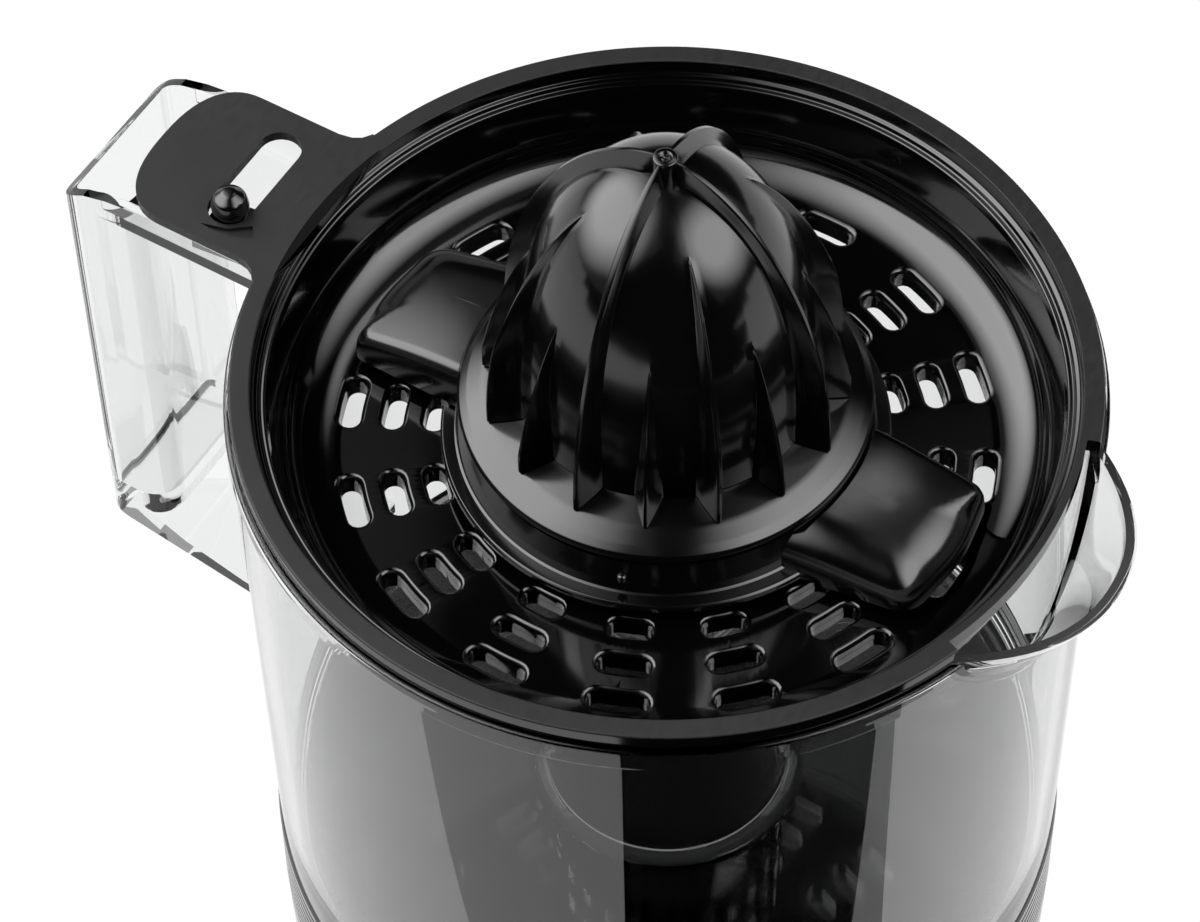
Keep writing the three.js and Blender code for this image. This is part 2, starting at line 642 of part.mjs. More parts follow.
function paddle() {
  const shape = new THREE.Shape();
  shape.moveTo(34, PADDLE_BACK);
  shape.lineTo(49, PADDLE_BACK + 1.8);
  shape.quadraticCurveTo(58.6, -13.6, 60.2, -4);
  shape.quadraticCurveTo(61.4, 4, 59.2, 12.6);
  shape.quadraticCurveTo(58.5, PADDLE_FRONT, 55.8, PADDLE_FRONT);
  shape.lineTo(34, PADDLE_FRONT);
  const side = outline([
    [30, -17.2], [70, -17.2], [70, -15.4], [61.2, -13.2], [57, -10.6], [50, -8.7],
    [39, -7.2], [30, -7.2],
  ].map(([r, drop]) => [r, RIM_Z + drop]));
  const body = slab(shape, RIM_Z - 17.2, RIM_Z - 5, 4).intersect(sideways(side, 40));
  const slope = outline([
    [-18, -20], [-18, -15.4], [-14.6, -11.4], [-9, -8], [0, -6.6], [13, -7], [16, -8.6],
    [16, -20],
  ].map(([y, drop]) => [y, RIM_Z + drop]));
  const across = sideways(slope, 40).rotate([0, 0, 90]).translate([50, 0, 0]);
  return body.intersect(across);
}

function scraper() {
  const z = RIM_Z;
  const skirt = turned([
    [9.6, z - 5.4], [13, z - 5.4], [13.2, z - 8.4], [37.2, z - 8.4], [38.1, z - 9],
    [39, z - 15.5], [41.8, z - 15.6], [41.8, z - 17], [37.4, z - 17], [36.6, z - 9.7],
    [9.6, z - 9.7],
  ], 48);
  const core = post(38.9, z - 8.5, z, 0, 0, 48).add(post(37.4, z - 30, z - 8.6, 0, 0, 48));
  const paddles = paddle().add(spun(paddle(), Math.PI)).subtract(core);
  const hollow = block(43, 55, -11, 11, z - 25, z - 12.4);
  const keyway = block(-HUB_KEY - 0.5, HUB_KEY + 0.5, -2, 2, z - 12, z);
  const body = skirt.add(paddles).subtract(hollow).subtract(spun(hollow, Math.PI));
  return body.subtract(keyway);
}

function thrustWasher() {
  return turned([
    [9.4, RIM_Z - 10.9], [12.4, RIM_Z - 10.9], [12.4, RIM_Z - 10], [9.4, RIM_Z - 10],
  ], MEDIUM);
}

// Height of a full-bodied dome at a radius: a superellipse.
function domeHeight(r, radius, height, power) {
  return height * (1 - (r / radius) ** power) ** (1 / power);
}

function dome(radius, height, power, from, steps) {
  const points = [];
  for (let k = 0; k < steps; k += 1) {
    const a = (Math.PI / 2) * (k / steps);
    const r = from + (radius - from) * Math.cos(a) ** 0.8;
    points.push([r, domeHeight(Math.min(r, radius), radius, height, power)]);
  }
  points.push([from, domeHeight(from, radius, height, power)]);
  return points;
}

const DOME_R = 27.8;
const DOME_H = 55.6;
const DOME_POWER = 2.35;
const RIB_R = 34;
const RIB_POWER = 1.9;
const SHELL = 2;
const CONE_FOOT = -0.5;       // lower edge of the large cone, below the rim

// A blade standing out of the dome, from the radius where it leaves it to the tip.
function rib(start) {
  const points = [];
  const steps = 6;
  for (let k = 0; k <= steps; k += 1) {
    const r = start + (RIB_R - start) * Math.sin((Math.PI / 2) * (k / steps));
    points.push([r, RIM_Z + Math.max(CONE_FOOT, domeHeight(r, RIB_R, CONE_RISE, RIB_POWER))]);
  }
  for (const r of [26.8, 26.4, 24, 20, 14, 8, 3]) {
    if (r === 26.8 || r > start) {
      const top = domeHeight(r, DOME_R - 1, DOME_H - 1, DOME_POWER);
      points.push([r, RIM_Z + (r === 26.8 ? CONE_FOOT : top)]);
    }
  }
  return sideways(outline(points), 2.2);
}

function largeCone() {
  const inner = dome(DOME_R - SHELL, DOME_H - SHELL, DOME_POWER, 0, 6).reverse();
  const outer = dome(DOME_R, DOME_H, DOME_POWER, 3, 8);
  const profile = [
    ...inner.slice(0, -1), [DOME_R - SHELL, CONE_FOOT], [DOME_R, CONE_FOOT], ...outer.slice(1),
    [2.8, CONE_RISE], [0, CONE_RISE],
  ];
  let body = turned(profile.map(([r, z]) => [r, z + RIM_Z]), MEDIUM);
  const starts = [1, 26.6, 16.4, 26.6];
  ring(RIB_COUNT, (a, k) => {
    body = body.add(spun(rib(starts[k % 4]), a));
  });
  return spun(body, CONE_TURN);
}

const SMALL_R = 22.6;
const SMALL_H = 45;
const BOSS_R = 7.8;
const BOSS_FOOT = -26.6;

function smallCone() {
  const shift = -1.4;
  const inner = dome(SMALL_R - 2.2, SMALL_H - 2.2, 2.2, BOSS_R, 4).reverse();
  const outer = dome(SMALL_R, SMALL_H, 2.2, 0, 7);
  const profile = [
    [0, BOSS_FOOT], [BOSS_R, BOSS_FOOT], ...inner.map(([r, z]) => [r, z + shift]),
    [SMALL_R - 2.2, -3.4], [33, -3.6], [36.8, -5], [37.3, -6.3], [38.2, -6.3], [38.45, -5.2],
    [37.6, -3.6], [34, -1.8], [SMALL_R + 1.5, shift], ...outer.map(([r, z]) => [r, z + shift]),
  ];
  let body = turned(profile.map(([r, z]) => [r, z + RIM_Z]), MEDIUM);
  ring(8, (a) => {
    const blade = outline([
      [10, 34], [17, 34.5], [22, 24], [24.2, 10], [24.8, -1.6], [20, -1.6], [10, 20],
    ].map(([r, z]) => [r, z + RIM_Z]));
    body = body.add(spun(sideways(blade, 2), a).subtract(post(21, 0, RIM_Z + 6, 0, 0, MEDIUM)));
  });
  const key = block(-HUB_KEY, HUB_KEY, -1.6, 1.6, RIM_Z - 8.2, RIM_Z - 2.4);
  const socket = doubleD(SHAFT_R + 0.35, SHAFT_FLAT + 0.35);
  body = spun(body, CONE_TURN).add(key);
  return body.subtract(slab(socket, RIM_Z + BOSS_FOOT - 1, SHAFT_HEAD + GAP));
}

// ---------------------------------------------------------------- assembly

piece('base_housing', baseHousing(), 'gloss_black');
piece('bottom_cover', bottomCover(), 'satin_black');
feet.forEach(([x, y], k) => {
  piece(`foot_${k + 1}`, foot(x, y), 'rubber');
});
coverScrews.forEach(([x, y], k) => {
  piece(`cover_screw_${k + 1}`, screwUp(x, y, COVER_Z, 14), 'zinc');
});
piece('cord_gland', cordGland(), 'rubber');
piece('gearbox_plate', gearboxPlate(), 'zinc');
plateScrews.forEach(([x, y], k) => {
  piece(`plate_screw_${k + 1}`, screwUp(x, y, PLATE_Z - 1 - GAP, 10), 'zinc');
});
piece('motor_can', motorCan(), 'steel');
piece('motor_coil', motorCoil(), 'copper');
piece('motor_end_cap', motorEndCap(), 'nylon');
piece('motor_screw_1', motorScrew(EAR_Y), 'zinc');
piece('motor_screw_2', motorScrew(-EAR_Y), 'zinc');
piece('motor_rotor', turned([
  [1.5 + BORE_GAP, CAN_Z + 2], [12.4, CAN_Z + 2], [12.4, CAN_TOP - 3],
  [1.5 + BORE_GAP, CAN_TOP - 3],
], 24).translate([MOTOR_X, 0, 0]), 'magnet');
piece('motor_shaft', post(1.5, CAN_Z - 1.6, HIGH_GEAR_Z + GEAR_FACE + 1, MOTOR_X, 0), 'steel');
piece('motor_pinion', motorPinion(), 'nylon');
piece('idler_axle', post(AXLE_R, PLATE_Z - 0.6, CEILING_Z - GAP, IDLER_X, IDLER_Y), 'steel');
piece('idler_gear', idlerGear(), 'nylon');
piece('output_gear', outputGear(), 'nylon');
piece('lower_bush', bush(29.4, PLATE_TOP + 0.8, 29.4, PLATE_Z - GAP, 7, 9.6), 'bronze');
piece('upper_bush', bush(TOWER_TOP - 11, 151.2, TOWER_TOP + GAP, 151.2, 7.8, 10.6), 'bronze');
piece('drive_shaft', slab(doubleD(SHAFT_R, SHAFT_FLAT), SHAFT_FOOT, SHAFT_HEAD), 'steel');
piece('spring_collar', springCollar(), 'zinc');
piece('return_spring', returnSpring(), 'steel');
piece('switch_body', switchBody(), 'satin_black');
piece('switch_plunger', post(2, 12.4, SHAFT_FOOT - GAP), 'nylon');
piece('jug', jug(), 'clear');
piece('strainer', strainer(), 'gloss_black');
piece('pulp_shutter', pulpShutter(), 'gloss_black');
piece('pulp_knob', pulpKnob(), 'gloss_black');
piece('thrust_washer', thrustWasher(), 'nylon');
piece('scraper', scraper(), 'gloss_black');
piece('small_cone', smallCone(), 'gloss_black');
piece('large_cone', largeCone(), 'gloss_black');

const group = new THREE.Group();
group.add(spinAxis);

export default group;
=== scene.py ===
"""A citrus press juicer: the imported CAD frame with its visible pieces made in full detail."""
import json
import math

import bmesh
import bpy
from mathutils import Matrix, Vector


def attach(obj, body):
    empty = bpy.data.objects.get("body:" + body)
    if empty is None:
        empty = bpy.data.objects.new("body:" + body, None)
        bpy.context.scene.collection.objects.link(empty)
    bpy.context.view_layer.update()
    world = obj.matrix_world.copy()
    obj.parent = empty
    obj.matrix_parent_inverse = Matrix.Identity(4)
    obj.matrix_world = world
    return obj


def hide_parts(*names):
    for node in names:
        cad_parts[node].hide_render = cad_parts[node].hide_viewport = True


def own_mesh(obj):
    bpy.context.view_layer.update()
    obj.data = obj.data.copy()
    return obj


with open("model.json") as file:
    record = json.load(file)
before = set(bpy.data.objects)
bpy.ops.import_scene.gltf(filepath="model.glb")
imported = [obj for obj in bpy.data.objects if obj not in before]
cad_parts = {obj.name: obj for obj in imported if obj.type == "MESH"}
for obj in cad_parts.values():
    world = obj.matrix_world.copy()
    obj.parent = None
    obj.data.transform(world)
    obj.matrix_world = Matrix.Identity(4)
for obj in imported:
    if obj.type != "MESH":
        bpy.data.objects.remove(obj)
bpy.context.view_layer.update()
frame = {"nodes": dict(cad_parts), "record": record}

# ---------------------------------------------------------------- sizes, in millimetres
# Every shape is drawn about the spin axis, with heights counted from the rim's top face.

AXIS_X = 15.7  # the spin axis, from the part's origin
RIM_Z = 180.0  # the rim's top face, from the part's origin
HANDLE_HALF = 17.2
HANDLE_REACH = 124.4
GRIP_IN = 109.5
SLOTS = 16  # in each row
PITCH = 2 * math.pi / SLOTS
SLOT_ROWS = (43.5, 51.3, 59.3)
SLOT_SPAN = math.radians(11.0)
SLOT_HALF = 1.95
KNOB_R = 90.4
KNOB_TURN = PITCH / 4
CONE_TURN = math.radians(2.2)


# ---------------------------------------------------------------- mesh helpers

def place(x, y, z):
    """A point drawn in millimetres about the spin axis, in the row frame in metres."""
    return Vector(((x + AXIS_X) / 1000, y / 1000, (z + RIM_Z) / 1000))


def linked(name, data):
    """A new object, in the scene."""
    obj = bpy.data.objects.new(name, data)
    bpy.context.scene.collection.objects.link(obj)
    return obj


def make(name, verts, faces, angle=32):
    """A piece from points in millimetres, smooth except at edges sharper than angle."""
    mesh = bpy.data.meshes.new(name)
    mesh.from_pydata([place(*v) for v in verts], [], faces)
    bm = bmesh.new()
    bm.from_mesh(mesh)
    bmesh.ops.remove_doubles(bm, verts=bm.verts, dist=1e-7)
    bmesh.ops.dissolve_degenerate(bm, edges=bm.edges, dist=1e-7)
    bmesh.ops.recalc_face_normals(bm, faces=bm.faces)
    bm.to_mesh(mesh)
    bm.free()
    obj = linked(name, mesh)
    shade(obj, angle)
    return obj


def shade(obj, angle):
    mesh = obj.data
    for polygon in mesh.polygons:
        polygon.use_smooth = True
    mesh.set_sharp_from_angle(angle=math.radians(angle))


def bake(obj):
    """Turns obj's modifiers into its mesh."""
    graph = bpy.context.evaluated_depsgraph_get()
    mesh = bpy.data.meshes.new_from_object(obj.evaluated_get(graph))
    obj.modifiers.clear()
    old, obj.data = obj.data, mesh
    bpy.data.meshes.remove(old)
    return obj


def applied(obj, angle=32):
    shade(bake(obj), angle)
    return obj


def level(obj):
    """Keeps flat faces flat while the arcs between them stay smooth."""
    modifier = obj.modifiers.new("level", "WEIGHTED_NORMAL")
    modifier.keep_sharp = True
    modifier.weight = 80
    return bake(obj)


def boolean(obj, other, operation):
    modifier = obj.modifiers.new("cut", "BOOLEAN")
    modifier.operation = operation
    modifier.solver = "EXACT"
    modifier.object = other
    applied(obj)
    bpy.data.objects.remove(other)
    return obj


def bevel(obj, width, segments=3, angle=40):
    modifier = obj.modifiers.new("edges", "BEVEL")
    modifier.width = width / 1000
    modifier.segments = segments
    modifier.limit_method = "ANGLE"
    modifier.angle_limit = math.radians(angle)
    modifier.use_clamp_overlap = True
    return applied(obj, 50)


def joined(obj, *others):
    """Adds the meshes of others to obj."""
    bm = bmesh.new()
    for piece in (obj, *others):
        bm.from_mesh(piece.data)
    bm.to_mesh(obj.data)
    bm.free()
    for piece in others:
        bpy.data.objects.remove(piece)
    return obj


def rounded(points, steps=6, closed=True):
    """A polyline through (x, y, radius) corners, each turned with an arc of its radius."""
    out = []
    count = len(points)
    for i, point in enumerate(points):
        x, y = point[:2]
        radius = point[2] if len(point) > 2 else 0
        if radius <= 0 or (not closed and i in (0, count - 1)):
            out.append((x, y))
            continue
        corner = Vector((x, y))
        before = Vector(points[i - 1][:2]) - corner
        after = Vector(points[(i + 1) % count][:2]) - corner
        half = before.angle(after) / 2
        reach = min(radius / math.tan(half), before.length * 0.49, after.length * 0.49)
        a = corner + before.normalized() * reach
        b = corner + after.normalized() * reach
        for k in range(steps + 1):
            t = k / steps
            p = a * (1 - t) ** 2 + corner * 2 * t * (1 - t) + b * t ** 2
            out.append((p.x, p.y))
    return out


def fine(points, step):
    """The same closed polyline with no side longer than step."""
    out = []
    for i, (x, y) in enumerate(points):
        u, v = points[(i + 1) % len(points)]
        n = max(1, math.ceil(math.hypot(u - x, v - y) / step))
        out += [(x + (u - x) * k / n, y + (v - y) * k / n) for k in range(n)]
    return out


def lathe(name, profile, count=192, angle=32, centre=(0, 0)):
    """Turns a closed profile of (radius, height) about the vertical through centre."""
    verts, faces, rows = [], [], []
    for r, z in profile:
        if r < 1e-6:
            rows.append([len(verts)] * count)
            verts.append((centre[0], centre[1], z))
            continue
        rows.append(list(range(len(verts), len(verts) + count)))
        for k in range(count):
            a = 2 * math.pi * k / count
            verts.append((centre[0] + r * math.cos(a), centre[1] + r * math.sin(a), z))
    for i, low in enumerate(rows):
        high = rows[(i + 1) % len(rows)]
        for k in range(count):
            m = (k + 1) % count
            corners = []
            for corner in (low[k], low[m], high[m], high[k]):
                if corner not in corners:
                    corners.append(corner)
            if len(corners) > 2:
                faces.append(corners)
    return make(name, verts, faces, angle)


def prism(name, outline, z0, z1, angle=32):
    """An outline in X and Y, from height z0 to z1."""
    n = len(outline)
    verts = [(x, y, z0) for x, y in outline] + [(x, y, z1) for x, y in outline]
    faces = [list(range(n))[::-1], list(range(n, 2 * n))]
    faces += [[i, (i + 1) % n, n + (i + 1) % n, n + i] for i in range(n)]
    return make(name, verts, faces, angle)


def side_prism(name, outline, half, angle=32):
    """An outline in X and Z, from -half to half along Y."""
    n = len(outline)
    verts = [(x, -half, z) for x, z in outline] + [(x, half, z) for x, z in outline]
    faces = [list(range(n)), list(range(n, 2 * n))[::-1]]
    faces += [[i, n + i, n + (i + 1) % n, (i + 1) % n] for i in range(n)]
    return make(name, verts, faces, angle)


def loft(name, loops, angle=32):
    """A closed skin over loops of equal length, each a list of (x, y, z)."""
    n = len(loops[0])
    verts = [v for loop in loops for v in loop]
    faces = []
    for row in range(len(loops) - 1):
        a, b = row * n, (row + 1) * n
        faces += [[a + i, a + (i + 1) % n, b + (i + 1) % n, b + i] for i in range(n)]
    last = (len(loops) - 1) * n
    faces += [list(range(n))[::-1], list(range(last, last + n))]
    return make(name, verts, faces, angle)


def spin(obj, angle):
    """Turns obj's mesh about the spin axis."""
    centre = place(0, 0, 0)
    obj.data.transform(
        Matrix.Translation(centre) @ Matrix.Rotation(angle, 4, "Z") @ Matrix.Translation(-centre)
    )
    return obj


def turn(x, y, a):
    """The point (x, y) turned about the origin by a."""
    return x * math.cos(a) - y * math.sin(a), x * math.sin(a) + y * math.cos(a)


# ---------------------------------------------------------------- materials

class Nodes:
    """A small builder for one material's node tree."""

    def __init__(self, name):
        self.material = bpy.data.materials.new(name)
        self.material.use_nodes = True
        self.tree = self.material.node_tree
        self.shader = self.tree.nodes["Principled BSDF"]
        self.place = self.tree.nodes.new("ShaderNodeTexCoord").outputs["Object"]

    def node(self, kind, **settings):
        node = self.tree.nodes.new(kind)
        for key, value in settings.items():
            if hasattr(node, key):
                setattr(node, key, value)
            else:
                node.inputs[key.replace("_", " ")].default_value = value
        return node

    def link(self, a, b):
        self.tree.links.new(a, b)

    def stretched(self, scale):
        mapping = self.node("ShaderNodeMapping")
        mapping.inputs["Scale"].default_value = scale
        self.link(self.place, mapping.inputs["Vector"])
        return mapping.outputs["Vector"]

    def noise(self, scale, detail=3, rough=0.55, stretch=(1, 1, 1)):
        node = self.node("ShaderNodeTexNoise", Scale=scale, Detail=detail, Roughness=rough)
        self.link(self.stretched(stretch), node.inputs["Vector"])
        return node.outputs["Fac"]

    def specks(self, scale, size):
        """1 in small round specks, 0 elsewhere."""
        node = self.node("ShaderNodeTexVoronoi", Scale=scale)
        self.link(self.place, node.inputs["Vector"])
        return self.range(node.outputs["Distance"], size, size * 0.4, 0, 1)

    def range(self, source, low, high, to_low, to_high):
        node = self.node("ShaderNodeMapRange")
        self.link(source, node.inputs["Value"])
        for key, value in zip(("From Min", "From Max", "To Min", "To Max"),
                              (low, high, to_low, to_high)):
            node.inputs[key].default_value = value
        return node.outputs["Result"]

    def product(self, a, b):
        node = self.node("ShaderNodeMath", operation="MULTIPLY")
        self.link(a, node.inputs[0])
        self.link(b, node.inputs[1])
        return node.outputs["Value"]

    def mix(self, factor, a, b):
        node = self.node("ShaderNodeMix", data_type="RGBA")
        self.link(factor, node.inputs["Factor"])
        node.inputs[6].default_value = (*a, 1)
        node.inputs[7].default_value = (*b, 1)
        return node.outputs[2]

    def bump(self, height, strength, distance, after=None):
        node = self.node("ShaderNodeBump", Strength=strength, Distance=distance)
        self.link(height, node.inputs["Height"])
        if after is not None:
            self.link(after, node.inputs["Normal"])
        self.link(node.outputs["Normal"], self.shader.inputs["Normal"])
        return node.outputs["Normal"]

    def set(self, **values):
        for key, value in values.items():
            self.shader.inputs[key.replace("_", " ")].default_value = value

    def feed(self, socket, output):
        self.link(output, self.shader.inputs[socket])


def gloss_black(name="gloss_black", base=0.0008, rough=0.07):
    """Polished black ABS: faint moulding ripple, smudges and a little dust."""
    m = Nodes(name)
    smudge = m.noise(38, 4, 0.6)
    m.feed("Roughness", m.range(smudge, 0.35, 0.8, rough * 0.75, rough * 1.7))
    dust = m.product(m.specks(620, 0.05), m.range(m.noise(25), 0.5, 0.62, 0, 1))
    m.feed("Base Color", m.mix(dust, (base, base, base * 1.04), (0.02, 0.02, 0.02)))
    m.bump(m.noise(40, 2), 0.02, 0.0006)
    m.set(IOR=1.6)
    return m.material


def matt_black():
    """Fine-grained charcoal ABS with rubbed scratches and dust."""
    m = Nodes("matt_black")
    scratch = m.noise(900, 2, 0.5, (1, 0.4, 1))
    grain = m.noise(1500, 3, 0.6)
    wear = m.noise(60, 4, 0.6)
    dust = m.product(m.specks(700, 0.06), m.range(m.noise(31), 0.48, 0.62, 0, 1))
    tone = m.range(wear, 0.3, 0.75, 0, 1)
    colour = m.mix(tone, (0.006, 0.006, 0.0062), (0.0095, 0.0095, 0.0098))
    mix = m.node("ShaderNodeMix", data_type="RGBA")
    m.link(dust, mix.inputs["Factor"])
    m.link(colour, mix.inputs[6])
    mix.inputs[7].default_value = (0.04, 0.04, 0.04, 1)
    m.feed("Base Color", mix.outputs[2])
    m.feed("Roughness", m.range(scratch, 0.3, 0.7, 0.4, 0.56))
    fine_grain = m.bump(grain, 0.25, 0.00006)
    m.bump(scratch, 0.05, 0.00004, fine_grain)
    m.set(IOR=1.38)
    return m.material


def clear_plastic():
    """Clear styrene-acrylonitrile with moulding ripple and light handling marks."""
    m = Nodes("clear")
    marks = m.noise(140, 5, 0.65, (1, 1, 0.25))
    m.feed("Roughness", m.range(marks, 0.5, 0.85, 0.0, 0.05))
    m.bump(m.noise(17, 2, 0.5, (1, 1, 0.35)), 0.06, 0.0012)
    m.set(Base_Color=(0.885, 0.89, 0.892, 1), Transmission_Weight=1.0, IOR=1.5)
    return m.material


def grained(name, colour, spread, rough, metal=0.0, scale=420, depth=0.00006, stretch=(1, 1, 1)):
    """A plain moulded or machined surface, mottled in tone and roughness, with fine grain."""
    m = Nodes(name)
    mottle = m.noise(scale / 6, 4, 0.6, stretch)
    dark = tuple(c * (1 - spread) for c in colour)
    light = tuple(min(1, c * (1 + spread)) for c in colour)
    m.feed("Base Color", m.mix(m.range(mottle, 0.3, 0.7, 0, 1), dark, light))
    m.feed("Roughness", m.range(m.noise(scale / 3, 3), 0.3, 0.7, rough * 0.8, rough * 1.2))
    m.bump(m.noise(scale, 3, 0.6, stretch), 0.3, depth)
    m.set(Metallic=metal)
    return m.material


looks = {
    "gloss_black": gloss_black(),
    "base_black": gloss_black("base_black", 0.001, 0.1),
    "cover_black": grained("cover_black", (0.02, 0.02, 0.021), 0.15, 0.5, depth=0.0001),
    "clear": clear_plastic(),
    "rubber": grained("rubber", (0.018, 0.018, 0.018), 0.2, 0.8, depth=0.0001),
    "steel": grained("steel", (0.56, 0.57, 0.58), 0.06, 0.26, 1.0, 900, 0.00002, (1, 1, 12)),
    "zinc": grained("zinc", (0.62, 0.63, 0.66), 0.1, 0.36, 1.0, 500, 0.00003),
    "bronze": grained("bronze", (0.52, 0.33, 0.14), 0.14, 0.42, 1.0, 900, 0.00005),
    "copper": grained("copper", (0.5, 0.2, 0.08), 0.16, 0.32, 1.0, 800, 0.0001, (1, 1, 6)),
    "nylon": grained("nylon", (0.74, 0.71, 0.63), 0.05, 0.45, 0.0, 300, 0.00005),
    "magnet": grained("magnet", (0.05, 0.05, 0.055), 0.2, 0.5, 0.4, 600, 0.00006),
}
matt = matt_black()
satin = gloss_black("satin_black", 0.0012, 0.14)


def finish(obj, slot, body, *nodes, look=None):
    """Gives a new piece its material slot, its body and the CAD nodes it stands for."""
    obj.data.materials.clear()
    obj.data.materials.append(look or looks[slot])
    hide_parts(*nodes)
    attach(obj, body)


for part in frame["record"]["subparts"]:
    carried = frame["nodes"][part["node"]]
    carried.data.materials.clear()
    carried.data.materials.append(looks[part["material_slot"]])


spring = frame["nodes"]["return_spring"]
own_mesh(spring)


# ---------------------------------------------------------------- strainer

def slot_outline(radius, centre, span=SLOT_SPAN, half=SLOT_HALF, steps=8):
    """One drain slot: an arc about the spin axis with round ends."""
    reach = span / 2 - half / radius
    points = []
    for k in range(steps + 1):
        a = centre + reach * (2 * k / steps - 1)
        points.append(((radius + half) * math.cos(a), (radius + half) * math.sin(a)))
    for side in (1, -1):
        a = centre + side * reach
        x, y = radius * math.cos(a), radius * math.sin(a)
        cap = []
        for k in range(1, 8):
            b = a + side * math.pi * k / 8
            cap.append((x + half * math.cos(b), y + half * math.sin(b)))
        if side == 1:
            points += cap
            for k in range(steps + 1):
                b = centre - reach * (2 * k / steps - 1)
                points.append(((radius - half) * math.cos(b), (radius - half) * math.sin(b)))
        else:
            points += cap[::-1]
    return points


def slot_cutters():
    """Cutters for the drain slots, flared at the top so each slot gets a rounded lip."""
    lip = ((-25, 0), (-21.1, 0), (-20.7, 0.06), (-20.36, 0.22), (-20.14, 0.46), (-20.03, 0.74),
           (-19.97, 1.02), (-19.0, 1.1))
    cutters = []
    for r in SLOT_ROWS:
        for k in range(SLOTS):
            loops = []
            for z, grow in lip:
                outline = slot_outline(r, k * PITCH, SLOT_SPAN + 2 * grow / r, SLOT_HALF + grow)
                loops.append([(x, y, z) for x, y in outline])
            cutters.append(loft("slot", loops, 50))
    return joined(*cutters)


def tab_outline():
    """The tab over the handle, flared where it meets the rim."""
    half = HANDLE_HALF + 0.15
    quarter = []
    for k in range(15):
        t = math.pi / 2 * k / 14
        x = -100.5 - 11.1 * math.sin(t) ** 0.85
        quarter.append((x, half * math.cos(t) ** 0.8))
    far = [(x, -y) for x, y in quarter[::-1][1:]]
    root = [(-74, half + 3.8), (-77.4, half + 3.2), (-78.6, half + 1.5), (-80.3, half + 0.5),
            (-83, half)]
    mirror = [(x, -y) for x, y in root[::-1]]
    return root + quarter + far + mirror


def stadium(x, reach, half, steps=12):
    """An upright slot along Y: centred on x, from -reach to reach."""
    points = []
    for side in (1, -1):
        for k in range(steps + 1):
            a = math.pi * k / steps + (0 if side == 1 else math.pi)
            points.append((x + half * math.cos(a), side * (reach - half) + half * math.sin(a)))
    return points


def wedge(radius0, radius1, half_angle, z0, z1, steps=24):
    """A sector of a ring about +X."""
    arc = [half_angle * (2 * k / steps - 1) for k in range(steps + 1)]
    outline = [(radius1 * math.cos(a), radius1 * math.sin(a)) for a in arc]
    outline += [(radius0 * math.cos(a), radius0 * math.sin(a)) for a in arc[::-1]]
    return prism("wedge", outline, z0, z1)


def strainer():
    bowl = []
    for k in range(15):
        a = math.radians(6 * k)
        bowl.append((60.2 + 10.5 * math.sin(a), -20 + 7.2 * (1 - math.cos(a))))
    profile = rounded([
        (8.8, -26, 0.3), (8.8, -11.2, 0.4), (12.4, -11.2, 0.6), (12.6, -20, 1.6),
        *bowl, (71.4, -12.6, 0.3),
        (72.9, -5.2, 0.8), (73.5, -3.7, 0.5), (74.4, -3.9, 0.5), (74.9, -3.0, 0.5),
        (75.6, -2.7, 0.4), (76.0, 0, 0.35), (79.9, 0, 0.5), (80, -3.2, 0.4),
        (77.4, -3.2, 0.3), (75.8, -5.2, 0.6), (73.6, -13.6, 1), (71.3, -16.4, 3),
        (66.2, -22.4, 3), (25.8, -22.4, 0.4), (25.6, -33, 0.3), (23.6, -33, 0.3),
        (23.6, -22.4, 0.5), (13, -22.4, 0.5), (11.4, -26, 0.3),
    ], 5)
    body = lathe("strainer_full", profile, 256)
    tab = prism("tab", tab_outline(), -2.1, 0)
    body = boolean(body, tab, "UNION")
    body = boolean(body, prism("tab_slot", stadium(-90.5, 12.6, 4.3), -4, 2), "DIFFERENCE")
    body = boolean(body, wedge(77.5, 84, math.radians(19.4), -8, 3), "DIFFERENCE")
    crescent = [(-93.4, -14.4, 0.1), (-88.0, -12.9, 2), (-84.2, -9.9, 0.3), (-82.4, -12.6, 0.3),
                (-87.5, -14.6, 2)]
    mark = prism("mark", rounded(crescent, 4), -0.9, 1)
    body = boolean(body, mark, "DIFFERENCE")
    body = bevel(body, 0.32, 3)
    body = boolean(body, slot_cutters(), "DIFFERENCE")
    shade(body, 50)
    body = level(body)
    body.name = "strainer_full"
    finish(body, "gloss_black", "strainer", "strainer")
    # The rim's flat annulus and the tab are grained; the bowl is polished.
    body.data.materials.append(matt)
    for polygon in body.data.polygons:
        c = polygon.center
        x, y = c.x * 1000 - AXIS_X, c.y * 1000
        z = c.z * 1000 - RIM_Z
        on_rim = 75.9 < math.hypot(x, y) and z > -0.25
        on_tab = x < -77 and abs(y) < 24 and math.hypot(x, y) > 80.3 and z > -2.6
        if on_rim or on_tab:
            polygon.material_index = 1


strainer()


